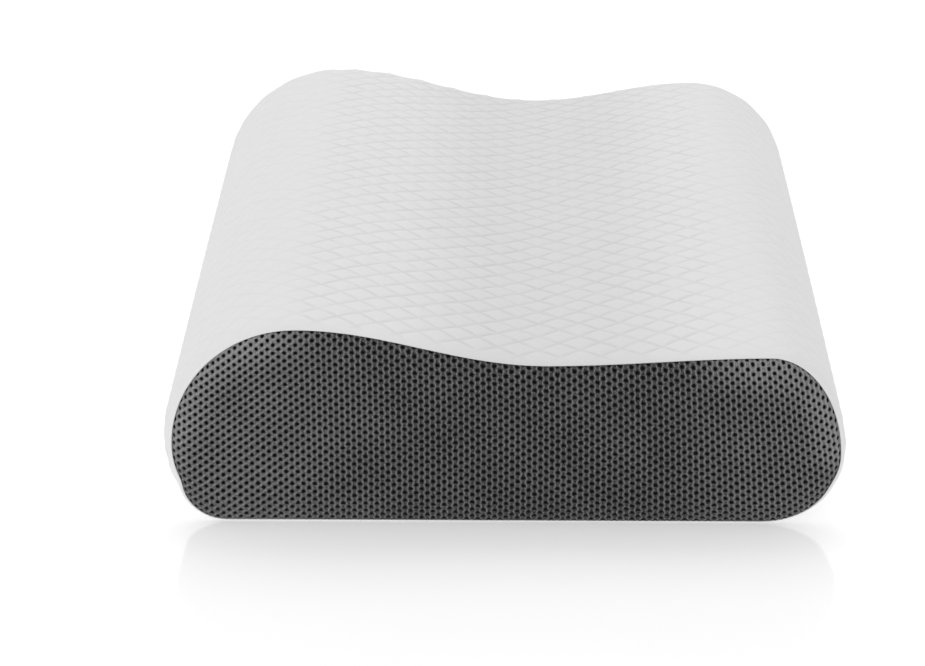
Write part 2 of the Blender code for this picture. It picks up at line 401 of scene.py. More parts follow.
# %% Wires and the bench
class Wire:
    """One output socket. Arithmetic on it adds Math nodes to its tree."""

    def __init__(self, bench, socket):
        self.bench = bench
        self.socket = socket

    def maths(self, operation, first, second=0.0):
        return self.bench.put("ShaderNodeMath", {"operation": operation}, {0: first, 1: second})

    def __add__(self, other):
        return self.maths("ADD", self, other)

    def __radd__(self, other):
        return self.maths("ADD", other, self)

    def __sub__(self, other):
        return self.maths("SUBTRACT", self, other)

    def __rsub__(self, other):
        return self.maths("SUBTRACT", other, self)

    def __mul__(self, other):
        return self.maths("MULTIPLY", self, other)

    def __rmul__(self, other):
        return self.maths("MULTIPLY", other, self)

    def __truediv__(self, other):
        return self.maths("DIVIDE", self, other)

    def __pow__(self, other):
        return self.maths("POWER", self, other)

    def __abs__(self):
        return self.maths("ABSOLUTE", self)

    def least(self, other):
        return self.maths("MINIMUM", self, other)

    def sine(self):
        return self.maths("SINE", self)

    def to_valley(self):
        """Distance of a count of repeats from the nearest half, where a valley runs, from 0 to 0.5."""
        return abs(self.maths("FRACT", self) - 0.5)


class Bench:
    """A node tree being built."""

    def __init__(self, tree):
        self.tree = tree

    def put(self, kind, settings=None, sockets=None, out=0):
        """Adds a node, sets it up, fills its sockets with values or wires, and gives one output."""
        node = self.tree.nodes.new(kind)
        for name, value in (settings or {}).items():
            if name == "stops":
                self.set_stops(node.color_ramp, value)
            else:
                setattr(node, name, value)
        for key, value in (sockets or {}).items():
            if isinstance(value, Wire):
                self.tree.links.new(value.socket, node.inputs[key])
            else:
                node.inputs[key].default_value = value
        return Wire(self, node.outputs[out]) if node.outputs else node

    def set_stops(self, ramp, stops):
        while len(ramp.elements) < len(stops):
            ramp.elements.new(0.5)
        for element, (position, grey) in zip(ramp.elements, stops):
            element.position = position
            element.color = (grey, grey, grey, 1.0)

    def other(self, wire, out):
        return Wire(self, wire.socket.node.outputs[out])

    def rise(self, value, start, end, low=0.0, high=1.0):
        """A smooth change from low to high while the value goes from start to end."""
        return self.put("ShaderNodeMapRange", {"interpolation_type": "SMOOTHSTEP"}, {
            "Value": value, "From Min": start, "From Max": end, "To Min": low, "To Max": high})


print("bench ready")

# %% [markdown]
# ## The white quilted knit
# This is a polyester knit, white with a cool touch, matt, with fine wales about a millimetre apart. The
# stitched valleys between the diamonds are painted a little greyer, as painted shade in the creases, and the
# knit across the pillow's dip is painted a little darker, as painted shade too. The two UV maps follow the
# cloth itself: "cloth" counts metres and "quilt" counts diamonds.

# %% Material of the wrap
KNIT_WHITE = (0.83, 0.83, 0.83, 1.0)
# The grey that the knit is mixed towards, for painted shade and for blotches of random tone.
KNIT_SHADE_AND_BLOTCH_GREY = (0.61, 0.61, 0.61, 1.0)
VALLEY_SPACING = 0.0157
VALLEY_HALF_WIDTH = 0.0023
WALE = 0.00125
COURSE = 0.00105


def start_material(name):
    material = bpy.data.materials.new(name)
    material.use_nodes = True
    bench = Bench(material.node_tree)
    shader = material.node_tree.nodes["Principled BSDF"]
    return material, bench, shader


def uv_parts(bench, map_name):
    """The two counts of a UV map, as wires."""
    where = bench.put("ShaderNodeUVMap", {"uv_map": map_name})
    parts = bench.put("ShaderNodeSeparateXYZ", None, {0: where})
    return where, parts, bench.other(parts, 1)


def make_knit():
    material, bench, shader = start_material("wrap_knit")
    _, round_count, along_count = uv_parts(bench, "quilt")
    where, round_metres, along_metres = uv_parts(bench, "cloth")
    relief = bench.put("ShaderNodeAttribute", {"attribute_name": "relief"}, None, "Fac")
    to_line = (round_count + along_count).to_valley().least((round_count - along_count).to_valley())
    line = bench.rise(to_line * VALLEY_SPACING, VALLEY_HALF_WIDTH, 0.0) * relief
    wales = (round_metres * (2 * math.pi / WALE)).sine()
    courses = (along_metres * (2 * math.pi / COURSE)).sine()
    mottle = bench.put("ShaderNodeTexNoise", None, {"Vector": where, "Scale": 900.0, "Detail": 3.0})
    height = wales * courses * 0.00003 + mottle * 0.00006 - line * 0.00020
    bump = bench.put("ShaderNodeBump", None, {"Strength": 1.0, "Distance": 1.0, "Height": height})
    soft = bench.put("ShaderNodeTexNoise", None, {"Vector": where, "Scale": 9.0, "Detail": 2.0})
    patchy = bench.put("ShaderNodeTexNoise", None, {"Vector": where, "Scale": 60.0, "Detail": 1.0})
    # Painted shade: the knit is painted darker in a band across the pillow's dip, where it looks less lit.
    spot = bench.put("ShaderNodeTexCoord", None, None, "Object")
    spot_x = bench.put("ShaderNodeSeparateXYZ", None, {0: spot}, "X")
    painted_dip_shade = bench.rise(abs(spot_x - NEAR_LOBES.dip_x), 0.100, 0.030) * 0.28
    # Painted shade: the valley lines are painted greyer, unevenly. The soft noise adds blotches of random tone,
    # and the painted shade of the dip comes last.
    shade = line * (patchy * 0.7 - 0.05) + soft * 0.10 + painted_dip_shade
    colour = bench.put("ShaderNodeMix", {"data_type": "RGBA"},
                       {0: shade, 6: KNIT_WHITE, 7: KNIT_SHADE_AND_BLOTCH_GREY}, 2)
    rough = mottle * 0.12 + 0.80
    material.node_tree.links.new(colour.socket, shader.inputs["Base Color"])
    material.node_tree.links.new(rough.socket, shader.inputs["Roughness"])
    material.node_tree.links.new(bump.socket, shader.inputs["Normal"])
    shader.inputs["Sheen Weight"].default_value = 0.15
    shader.inputs["Sheen Roughness"].default_value = 0.6
    shader.inputs["Specular IOR Level"].default_value = 0.25
    return material


knit = make_knit()
print("nodes in the knit:", len(knit.node_tree.nodes))

# %% [markdown]
# ## The body under its wrap
# The fine grid follows the surface from seam to seam. Towards each seam it rolls over a rounded lip, turns
# back under itself as a sewn edge does, and then steps down to the seat that carries the end panel.

# %% Sizes at the seam
LIP_ROLL = 0.0026
LIP_THICK = 0.0010
POCKET = 0.0050
SEAT_UNDER = 0.0033
QUILT_FADES_OVER = 0.012
QUILT_FADES_BELOW_Z = 0.012
ROW_BOW = 0.0030
ROW_BOW_CENTRE_X = 0.025
ROW_BOW_WIDTH = 0.150
ROW_WANDER = 0.0007
SHOULDER_LEFT_X = -0.105
SHOULDER_RIGHT_X = 0.115
SHOULDER_OVER = 0.030
SHOULDER_FROM_Z = 0.042
SHOULDER_PLAIN = 0.65


# %% Rings of the body
def end_rings(end):
    """Rings of points from just short of one seam, over its lip, to the edge of the seat's flat middle."""
    count = len(stations)
    rings = []
    for k in range(7):
        share = math.sin(k / 6 * math.pi / 2)
        short = LIP_ROLL * (1 - share)
        under = LIP_THICK * (1 - math.sqrt(max(0.0, 1 - share ** 2)))
        rings.append((skin.seam_run - short, np.full(count, under)))
    rings.append((skin.seam_run - POCKET, np.full(count, LIP_THICK + 0.0001)))
    rings.append((skin.seam_run - POCKET, np.full(count, SEAT_UNDER)))
    for k in range(4):
        share = k / 3
        rings.append((skin.seam_run + (skin.whole_run - skin.seam_run) * share, np.full(count, SEAT_UNDER)))
    return [(end, run, under) for run, under in rings]


def wander(around, along):
    """A slow, irregular wave between -1 and 1, over counts of repeats, that closes round the girth."""
    girth_count = len(stations) / STEPS_PER_REPEAT
    turns = 2 * math.pi * around / girth_count
    one = np.sin(13 * turns + 2 * math.pi * along / 4.3)
    two = np.sin(17 * turns - 2 * math.pi * along / 3.1 + 1.0)
    return (one + two) / 2


def body_rings():
    """Every ring of the body with its end, its distance along the cloth, its depth and its row count."""
    along, row_counts = length_grid(skin.seam_run.min() - LIP_ROLL - 0.001)
    bow = np.clip(1 - ((skin.near[:, 0] - ROW_BOW_CENTRE_X) / ROW_BOW_WIDTH) ** 2, 0.0, 1.0) * ROW_BOW
    bow = bow * (stations <= 1.0)
    rings = []
    for end, run, under in reversed(end_rings(-1)):
        rings.append((-run, under, None))
    for v, row in zip(along, row_counts):
        calm = smooth_step((skin.seam_run.min() - abs(v)) / 0.040)
        drawn = wander(column_counts / STEPS_PER_REPEAT, row / STEPS_PER_REPEAT) * ROW_WANDER
        rings.append((v + (bow + drawn) * calm, np.zeros(len(stations)), row))
    for end, run, under in end_rings(1):
        rings.append((run, under, None))
    return rings


def nearest_row_count(v):
    along, row_counts = length_grid(1.0)
    return np.interp(v, along, row_counts)


rings = body_rings()
print("rings of the body:", len(rings))


# %% The body's mesh
def handed_swell(v):
    """The coarse padding movement at one ring of the fine grid."""
    level = (np.clip(v / skin.seam_run, -1.0, 1.0) + 1.0) / 2 * (PAD_ROWS - 1)
    low = np.minimum(level.astype(int), PAD_ROWS - 2)
    share = (level - low)[:, None]
    columns = np.arange(len(stations)) / PAD_COLUMN_STEP
    left = columns.astype(int) % swell.shape[1]
    right = (left + 1) % swell.shape[1]
    across = (columns - columns.astype(int))[:, None]
    before = swell[low, left] * (1 - across) + swell[low, right] * across
    after = swell[low + 1, left] * (1 - across) + swell[low + 1, right] * across
    return before * (1 - share) + after * share


def make_body_mesh():
    free = smooth_step(skin.height / PAD_FREE_ABOVE_Z)[:, None]
    beyond = np.maximum(SHOULDER_LEFT_X - skin.near[:, 0], skin.near[:, 0] - SHOULDER_RIGHT_X)
    on_shoulder = smooth_step(beyond / SHOULDER_OVER) * smooth_step((skin.height - SHOULDER_FROM_Z) / 0.020)
    shown = 1.0 - SHOULDER_PLAIN * on_shoulder
    points = []
    relief = []
    counts = []
    move = ease(ease(np.array([handed_swell(v) for v, _, _ in rings]), 0, 8), 1, 8)
    for (v, under, row), swollen in zip(rings, move):
        base = np.where((v >= 0)[:, None], skin.at_run(1, abs(v), under), skin.at_run(-1, abs(v), under))
        held = smooth_step((skin.seam_run - abs(v)) / 0.010)[:, None] if row is not None else 0.0
        inset = PAD_STARTS_UNDER
        settled = skin.facing * inset
        shift = swollen - np.c_[settled[:, 0], np.zeros(len(v)), settled[:, 1]]
        points.append(base + shift * free * held)
        relief.append(shown * smooth_step((skin.seam_run - abs(v)) / QUILT_FADES_OVER) if row is not None
                      else np.zeros(len(v)))
        counts.append(np.full(len(v), row) if row is not None else nearest_row_count(v))
    return np.array(points), np.array(relief), np.array(counts)


body_points, body_relief, body_counts = make_body_mesh()
print("points of the body:", body_points.shape)


# %% Faces, split along the valleys
def body_faces():
    """Triangles of the grid, each cell split along the nearer of the two valley directions."""
    rows, columns = body_counts.shape
    index = np.arange(rows * columns).reshape(rows, columns)
    a, b = index[:-1], np.roll(index, -1, axis=1)[:-1]
    c, d = np.roll(index, -1, axis=1)[1:], index[1:]
    along = body_counts[:-1] + 0.5
    around = column_counts[None, :] + 0.5
    half = STEPS_PER_REPEAT / 2
    to_rising = abs((around - along) % STEPS_PER_REPEAT - half)
    to_falling = abs((around + along) % STEPS_PER_REPEAT - half)
    rising = to_rising < to_falling
    one = np.where(rising[..., None], np.stack([a, b, c], -1), np.stack([a, b, d], -1))
    two = np.where(rising[..., None], np.stack([a, c, d], -1), np.stack([b, c, d], -1))
    corner_column = np.arange(columns)[None, :] + np.zeros((rows - 1, 1), int)
    right = corner_column + 1
    one_columns = np.where(rising[..., None], np.stack([corner_column, right, right], -1),
                           np.stack([corner_column, right, corner_column], -1))
    two_columns = np.where(rising[..., None], np.stack([corner_column, right, corner_column], -1),
                           np.stack([right, right, corner_column], -1))
    faces = np.concatenate([one.reshape(-1, 3), two.reshape(-1, 3)])
    face_columns = np.concatenate([one_columns.reshape(-1, 3), two_columns.reshape(-1, 3)])
    return faces[:, ::-1], face_columns[:, ::-1]


def build_body():
    faces, face_columns = body_faces()
    columns = len(stations)
    flat_points = body_points.reshape(-1, 3)
    caps = [list(range(columns)), list(range(len(flat_points) - columns, len(flat_points)))]
    mesh = bpy.data.meshes.new("quilted_cover")
    mesh.from_pydata(flat_points.tolist(), [], faces.tolist() + [caps[0], caps[1][::-1]])
    girth = girth_distance[0] + 2 * girth_distance[-1] - girth_distance[-2]
    whole_distance = np.r_[girth_distance, girth]
    whole_count = np.r_[column_counts, column_counts[-1] + 1] / STEPS_PER_REPEAT
    ring_run = np.array([v for v, _, _ in rings])
    cloth_map = mesh.uv_layers.new(name="cloth")
    quilt_map = mesh.uv_layers.new(name="quilt")
    ring_of = faces // columns
    cap_corners = np.zeros((2 * columns, 2))
    cloth_uv = np.stack([whole_distance[face_columns], ring_run[ring_of, faces % columns]], -1).reshape(-1, 2)
    quilt_uv = np.stack([whole_count[face_columns],
                         body_counts[ring_of, faces % columns] / STEPS_PER_REPEAT], -1).reshape(-1, 2)
    cloth_map.data.foreach_set("uv", np.concatenate([cloth_uv, cap_corners]).ravel())
    quilt_map.data.foreach_set("uv", np.concatenate([quilt_uv, cap_corners]).ravel())
    lattice = mesh.attributes.new("lattice", "FLOAT_VECTOR", "POINT")
    around = np.broadcast_to(column_counts / STEPS_PER_REPEAT, body_counts.shape)
    values = np.stack([around, body_counts / STEPS_PER_REPEAT, np.zeros_like(around)], -1)
    lattice.data.foreach_set("vector", values.ravel())
    relief = mesh.attributes.new("relief", "FLOAT", "POINT")
    relief.data.foreach_set("value", body_relief.ravel())
    mesh.shade_smooth()
    body = bpy.data.objects.new("quilted_cover", mesh)
    bpy.context.scene.collection.objects.link(body)
    return body


body = build_body()
print("body has", len(body.data.vertices), "points and", len(body.data.polygons), "faces")

# %% [markdown]
# ## Quilting by Geometry Nodes
# Quilting follows a rule, so a node tree makes it: each point asks how far it is from the valleys, and is
# pressed inwards by that much. Depth and roundness are named inputs, so one tree serves any diamond quilt.

# %% Quilting tree
QUILT_DEPTH = 0.0014
QUILT_ROUNDNESS = 0.55
QUILT_UNEVENNESS = 0.8


def start_tree(name, inputs, material):
    """A geometry tree with named inputs. Gives its bench, its input wires and a way to finish it."""
    tree = bpy.data.node_groups.new(name, "GeometryNodeTree")
    tree.interface.new_socket("Geometry", in_out="INPUT", socket_type="NodeSocketGeometry")
    for label, kind in inputs.items():
        tree.interface.new_socket(label, in_out="INPUT", socket_type=kind)
    tree.interface.new_socket("Geometry", in_out="OUTPUT", socket_type="NodeSocketGeometry")
    bench = Bench(tree)
    given = bench.put("NodeGroupInput")
    wires = {label: bench.other(given, label) for label in ["Geometry", *inputs]}

    def finish(geometry):
        whole = bench.put("GeometryNodeRealizeInstances", None, {"Geometry": geometry})
        painted = bench.put("GeometryNodeSetMaterial", None, {"Geometry": whole, "Material": material})
        bench.put("NodeGroupOutput", None, {"Geometry": painted})
        return tree

    return bench, wires, finish


def apply_tree(piece, tree, values):
    """Runs a tree on a piece with the given inputs and keeps the result as a plain mesh."""
    modifier = piece.modifiers.new(tree.name, "NODES")
    modifier.node_group = tree
    for item in tree.interface.items_tree:
        if item.in_out == "INPUT" and item.name in values:
            modifier[item.identifier] = values[item.name]
    shaped = piece.evaluated_get(bpy.context.evaluated_depsgraph_get())
    mesh = bpy.data.meshes.new_from_object(shaped)
    piece.modifiers.remove(modifier)
    old = piece.data
    piece.data = mesh
    bpy.data.meshes.remove(old)
    mesh.name = piece.name
    return mesh


def quilting_tree(material):
    inputs = {"Depth": "NodeSocketFloat", "Roundness": "NodeSocketFloat", "Unevenness": "NodeSocketFloat"}
    bench, wires, finish = start_tree("diamond_quilting", inputs, material)
    lattice = bench.put("GeometryNodeInputNamedAttribute", {"data_type": "FLOAT_VECTOR"}, {"Name": "lattice"})
    relief = bench.put("GeometryNodeInputNamedAttribute", {"data_type": "FLOAT"}, {"Name": "relief"})
    around = bench.put("ShaderNodeSeparateXYZ", None, {0: lattice})
    along = bench.other(around, 1)
    puff = ((around + along).to_valley() * 2.0) ** wires["Roundness"]
    puff = puff * ((around - along).to_valley() * 2.0) ** wires["Roundness"]
    noise = bench.put("ShaderNodeTexNoise", None, {"Vector": lattice, "Scale": 1.3, "Detail": 1.0})
    sink = (puff - 1.0) * wires["Depth"] * relief * ((noise - 0.5) * wires["Unevenness"] + 1.0)
    normal = bench.put("GeometryNodeInputNormal")
    offset = bench.put("ShaderNodeVectorMath", {"operation": "SCALE"}, {0: normal, "Scale": sink})
    pressed = bench.put("GeometryNodeSetPosition", None, {"Geometry": wires["Geometry"], "Offset": offset})
    return finish(pressed)


def press_quilting():
    tree = quilting_tree(knit)
    mesh = apply_tree(body, tree, {
        "Depth": QUILT_DEPTH, "Roundness": QUILT_ROUNDNESS, "Unevenness": QUILT_UNEVENNESS})
    heights = np.empty(len(mesh.vertices) * 3)
    mesh.vertices.foreach_get("co", heights)
    heights[2::3] = np.maximum(heights[2::3], 0.0)
    mesh.vertices.foreach_set("co", heights)
    mesh.attributes.remove(mesh.attributes["lattice"])
    return mesh


body_mesh = press_quilting()
print("quilted body:", len(body_mesh.polygons), "faces, materials", [m.name for m in body_mesh.materials])

# %% [markdown]
# ## The grey spacer mesh
# Spacer mesh is two nets held apart by upright yarns, so its holes look black. Yarns bundle into ribs that
# zigzag up the panel between the holes and catch the light. "rib" is an attribute of the net below: 1 on
# its face and round each hole's rim, and 0 at the bottom of a hole and on its back.

# %% Material of the end panels
COLUMN_PITCH = 0.00331
HOLE_PITCH = 0.00490
NET_ORIGIN = (-0.0015, 0.0476)
RIB_SWAY = 0.14
STRAND_ENDS_X = -0.085
STRAND_OVER = 0.060


def rib_pattern(bench, across, up):
    """Where the ribs run, from 0 to 1: zigzags up the panel, and rising strands towards its left end."""
    column = (across - NET_ORIGIN[0]) / COLUMN_PITCH
    row = (up - NET_ORIGIN[1]) / HOLE_PITCH
    left_hole = column.maths("FLOOR", column)
    flip = left_hole.maths("FLOORED_MODULO", left_hole, 2.0) * -2.0 + 1.0
    swing = (row * (2 * math.pi) + math.pi / 2).sine() * flip * RIB_SWAY
    from_rib = abs(column - left_hole - 0.5 - swing)
    zigzag = bench.rise(from_rib, 0.20, 0.02)
    from_strand = (row - column * 0.5).to_valley() * 2.0
    strand = bench.rise(from_strand, 0.60, 0.10)
    to_left = bench.rise(across, STRAND_ENDS_X, STRAND_ENDS_X - STRAND_OVER)
    return zigzag * (1.0 - to_left * 0.6) + strand * to_left * 0.5


def make_mesh_finish():
    material, bench, shader = start_material("panel_mesh")
    face = bench.put("ShaderNodeAttribute", {"attribute_name": "rib"}, None, "Fac")
    where, across, up = uv_parts(bench, "cloth")
    fleck = bench.put("ShaderNodeTexNoise", None, {"Vector": where, "Scale": 900.0, "Detail": 3.0})
    patch = bench.put("ShaderNodeTexNoise", None, {"Vector": where, "Scale": 30.0, "Detail": 2.0})
    # Painted light: towards both ends, and most near its outline there, the net is painted paler, standing in
    # for the light that the turning cloth catches.
    edge = bench.put("ShaderNodeAttribute", {"attribute_name": "edge"}, None, "Fac")
    painted_light_to_ends = bench.rise(across, -0.040, -0.150) * 0.12 + bench.rise(across, 0.090, 0.150) * 0.10
    painted_end_light = edge * 0.33 + painted_light_to_ends
    pattern = rib_pattern(bench, across, up)
    # Painted light and shade: the ribs, and the rising strands near the left end, are painted lighter as painted
    # highlight, and the low bars between them are painted darker as painted shade. The fleck and patch noise add
    # random tone.
    lit = pattern * 0.34 + 0.29 + painted_end_light + (fleck - 0.5) * 1.10 + (patch - 0.5) * 0.20
    # Painted shade: down each hole's wall to its bottom the net is painted near black, for the shade deep in the
    # hole.
    tone = lit * bench.rise(face, 0.70, 0.95)
    colour = bench.put("ShaderNodeValToRGB", {
        "stops": [(0.0, 0.003), (0.20, 0.030), (0.45, 0.100), (1.0, 0.330)]}, {0: tone})
    height = fleck * 0.00010 + pattern * 0.00025
    bump = bench.put("ShaderNodeBump", None, {"Strength": 1.0, "Distance": 1.0, "Height": height})
    rough = fleck * 0.2 + 0.50
    material.node_tree.links.new(colour.socket, shader.inputs["Base Color"])
    material.node_tree.links.new(rough.socket, shader.inputs["Roughness"])
    material.node_tree.links.new(bump.socket, shader.inputs["Normal"])
    shader.inputs["Specular IOR Level"].default_value = 0.20
    return material


mesh_finish = make_mesh_finish()
print("nodes in the mesh finish:", len(mesh_finish.node_tree.nodes))

# %% [markdown]
# ## One cell of the net
# The holes stand in columns 3.3 mm apart, 4.9 mm from hole to hole, every other column half a step up. The
# tile round one hole is a flat hexagon, with one extra point on each slanted side so that the hole can be
# round. Slanted sides are ribs, level ones are bars.

# %% Net sizes and its tile
HOLE_WIDTH = 0.0024
HOLE_HEIGHT = 0.0024
HOLE_TAPER = 0.85
NET_DEEP = 0.0026
PIT_DEEP = 0.0017
BAR_LOWER = 0.00035
WOBBLE = 0.00030
WOBBLE_SCALE = 170.0


def tile_corners():
    """Corners of the tile round one hole, anticlockwise from the right."""
    half = HOLE_PITCH / 2
    inner = (COLUMN_PITCH - half ** 2 / COLUMN_PITCH) / 2
    outer = COLUMN_PITCH - inner
    quarter_side = [(outer, 0.0), ((outer + inner) / 2, half / 2), (inner, half)]
    left = [(-x, y) for x, y in reversed(quarter_side)]
    below = [(-x, -y) for x, y in quarter_side[1:]]
    return quarter_side + left + below + [(-x, y) for x, y in reversed(below)]


print("tile corners in mm:", [(round(x * 1000, 2), round(y * 1000, 2)) for x, y in tile_corners()])


# %% Net tree
def shape_cell(bench, tile, wires):
    """Turns the flat tile into one cell: ribs, a rounded rim and a tapering pit."""
    place = bench.put("GeometryNodeInputPosition")
    direction = bench.put("ShaderNodeVectorMath", {"operation": "DIVIDE"}, {0: place, 1: wires["Hole Size"]})
    direction = bench.put("ShaderNodeVectorMath", {"operation": "NORMALIZE"}, {0: direction})
    rim = bench.put("ShaderNodeVectorMath", {"operation": "MULTIPLY"}, {0: direction, 1: wires["Hole Size"]})
    rim = bench.put("ShaderNodeVectorMath", {"operation": "SCALE"}, {0: rim, "Scale": 0.5})
    upright = abs(bench.other(bench.put("ShaderNodeSeparateXYZ", None, {0: direction}), 1))
    rim_drop = (upright * -0.25 - 0.12) * 0.001
    drop = bench.put("ShaderNodeCombineXYZ", None, {"Z": rim_drop})
    rim = bench.put("ShaderNodeVectorMath", {"operation": "ADD"}, {0: rim, 1: drop})
    opened = bench.put("GeometryNodeExtrudeMesh", {"mode": "FACES"},
                       {"Mesh": tile, "Offset Scale": 0.0, "Individual": True})
    top = bench.other(opened, "Top")
    ringed = bench.put("GeometryNodeSetPosition", None, {"Geometry": opened, "Selection": top, "Position": rim})
    sunk = bench.put("GeometryNodeExtrudeMesh", {"mode": "FACES"},
                     {"Mesh": ringed, "Selection": top, "Offset Scale": 0.0, "Individual": True})
    floor_face = bench.other(sunk, "Top")
    narrow = bench.put("ShaderNodeVectorMath", {"operation": "SCALE"}, {0: place, "Scale": wires["Taper"]})
    flat = bench.put("ShaderNodeVectorMath", {"operation": "MULTIPLY"}, {0: narrow, 1: (1.0, 1.0, 0.0)})
    deep = bench.put("ShaderNodeCombineXYZ", None, {"Z": wires["Pit Depth"] * -1.0})
    pit = bench.put("ShaderNodeVectorMath", {"operation": "ADD"}, {0: flat, 1: deep})
    return bench.put("GeometryNodeSetPosition", None,
                     {"Geometry": sunk, "Selection": floor_face, "Position": pit})


def net_tree(material):
    inputs = {"Tile": "NodeSocketObject", "Columns": "NodeSocketInt", "Rows": "NodeSocketInt",
              "Column Pitch": "NodeSocketFloat", "Hole Pitch": "NodeSocketFloat",
              "Hole Size": "NodeSocketVector", "Taper": "NodeSocketFloat", "Pit Depth": "NodeSocketFloat",
              "Thickness": "NodeSocketFloat", "Centre": "NodeSocketVector", "Wobble": "NodeSocketFloat"}
    bench, wires, finish = start_tree("hexagonal_net", inputs, material)
    width = (wires["Columns"] - 1.0) * wires["Column Pitch"]
    height = (wires["Rows"] - 1.0) * wires["Hole Pitch"]
    grid = bench.put("GeometryNodeMeshGrid", None, {
        "Size X": width, "Size Y": height, "Vertices X": wires["Columns"], "Vertices Y": wires["Rows"]})
    number = bench.put("GeometryNodeInputIndex")
    column = (number / wires["Rows"]).maths("FLOOR", number / wires["Rows"])
    odd = column.maths("MODULO", column, 2.0)
    stagger = bench.put("ShaderNodeCombineXYZ", None, {"Y": (odd - 0.5) * 0.5 * wires["Hole Pitch"]})
    shift = bench.put("ShaderNodeVectorMath", {"operation": "ADD"}, {0: stagger, 1: wires["Centre"]})
    lattice = bench.put("GeometryNodeSetPosition", None, {"Geometry": grid, "Offset": shift})
    place = bench.put("GeometryNodeInputPosition")
    above = bench.put("ShaderNodeVectorMath", {"operation": "ADD"}, {0: place, 1: (0.0, 0.0, 0.01)})
    ray = bench.put("GeometryNodeRaycast", None, {
        "Target Geometry": wires["Geometry"], "Source Position": above,
        "Ray Direction": (0.0, 0.0, -1.0), "Ray Length": 0.02})
    tile = bench.put("GeometryNodeObjectInfo", None, {"Object": wires["Tile"]}, "Geometry")
    cell = shape_cell(bench, tile, wires)
    behind = bench.put("ShaderNodeCombineXYZ", None, {"Z": wires["Thickness"] * -1.0})
    flat = bench.put("ShaderNodeVectorMath", {"operation": "MULTIPLY"}, {0: place, 1: (1.0, 1.0, 0.0)})
    back_place = bench.put("ShaderNodeVectorMath", {"operation": "ADD"}, {0: flat, 1: behind})
    back = bench.put("GeometryNodeSetPosition", None, {"Geometry": tile, "Position": back_place})
    back = bench.put("GeometryNodeFlipFaces", None, {"Mesh": back})
    joined = bench.put("GeometryNodeJoinGeometry")
    for part in (cell, back):
        bench.tree.links.new(part.socket, joined.socket.node.inputs[0])
    cells = bench.put("GeometryNodeInstanceOnPoints", None, {
        "Points": lattice, "Selection": bench.other(ray, "Is Hit"), "Instance": joined})
    whole = bench.put("GeometryNodeRealizeInstances", None, {"Geometry": cells})
    merged = bench.put("GeometryNodeMergeByDistance", None, {"Geometry": whole, "Distance": 0.00005})
    neighbours = bench.put("GeometryNodeInputMeshEdgeNeighbors")
    up = bench.other(bench.put("ShaderNodeSeparateXYZ", None, {0: place}), 2)
    single = neighbours.maths("LESS_THAN", neighbours, 1.5)
    front = up.maths("GREATER_THAN", up, wires["Thickness"] * -0.5)
    walls = bench.put("GeometryNodeExtrudeMesh", {"mode": "EDGES"}, {
        "Mesh": merged, "Selection": single * front, "Offset": behind, "Offset Scale": 1.0})
    edge = bench.other(walls, "Top")
    settled = bench.put("GeometryNodeSetPosition", None, {
        "Geometry": walls, "Selection": edge, "Position": back_place})
    closed = bench.put("GeometryNodeMergeByDistance", None, {"Geometry": settled, "Distance": 0.00005})
    noise = bench.put("ShaderNodeTexNoise", None, {"Vector": flat, "Scale": WOBBLE_SCALE, "Detail": 0.0}, 1)
    uneven = bench.put("ShaderNodeVectorMath", {"operation": "SUBTRACT"}, {0: noise, 1: (0.5, 0.5, 0.5)})
    uneven = bench.put("ShaderNodeVectorMath", {"operation": "SCALE"}, {0: uneven, "Scale": wires["Wobble"]})
    level = bench.put("ShaderNodeVectorMath", {"operation": "MULTIPLY"}, {0: uneven, 1: (1.0, 1.0, 0.0)})
    moved = bench.put("GeometryNodeSetPosition", None, {"Geometry": closed, "Offset": level})
    return finish(moved)


net = net_tree(mesh_finish)
print("nodes in the net tree:", len(net.nodes))

# %% [markdown]
# ## Cutting the panel and fitting it to the end
# The net is first made flat, inside the outline of the cut cloth, as a cutter would lay it out. Then each
# point is carried onto the rounded end without stretching: the flat middle stays as it is, and what is
# outside it is laid along the turn by its distance from the middle's edge, in under the wrap's lip.

# %% Panel layout
PANEL_FRONT_UNDER = 0.0003
PANEL_UNDER_LIP = 0.0012
PANEL_DIPS_OVER = 0.0030
PANEL_BACK_UNDER = 0.0030
CELLS_PAST_SEAM = 0.0020
TUCK = 1.4
RING_TRIES = 6
RING_LEAST_GAP = 0.00002
RING_LONGEST_STEP = 12.0
# How far in from the outline, and from how far out from the middle, the net is painted paler as painted light.
PAINTED_EDGE_LIGHT_OVER = 0.030
PAINTED_EDGE_LIGHT_FROM_X = 0.100
NET_COLUMNS = 133
NET_ROWS = 37
ROUND_SAMPLES = 6000


# How the stretched cloth drifts from its straight net, in millimetres: curves across the pillow, what is
# added to them 50 mm above the middle of the panel, and what is added both 50 mm above and below it
DRIFT_MIDDLE_Z = 0.055
SIDEWAYS = ((-3.43, -4.12, 2.34, 3.79, -0.76, -0.37), (-5.30, -2.65, 0.15, -0.30), (-0.21, -0.45))
UPWARDS = ((5.89, 14.81, 1.63, -15.31, -11.92, 1.85), (0.32, 0.37, 1.27, 0.45), (2.25, 0.78))


def drift(flat):
    """How far the stretching has moved each point (x, z) of the straight net."""
    across = flat[:, 0] / (DEPTH / 2)
    higher = (flat[:, 1] - DRIFT_MIDDLE_Z) / 0.050
    moved = [sum(np.polyval(curve, across) * higher ** power for power, curve in enumerate(curves))
             for curves in (SIDEWAYS, UPWARDS)]
    return np.stack(moved, axis=1) / 1000


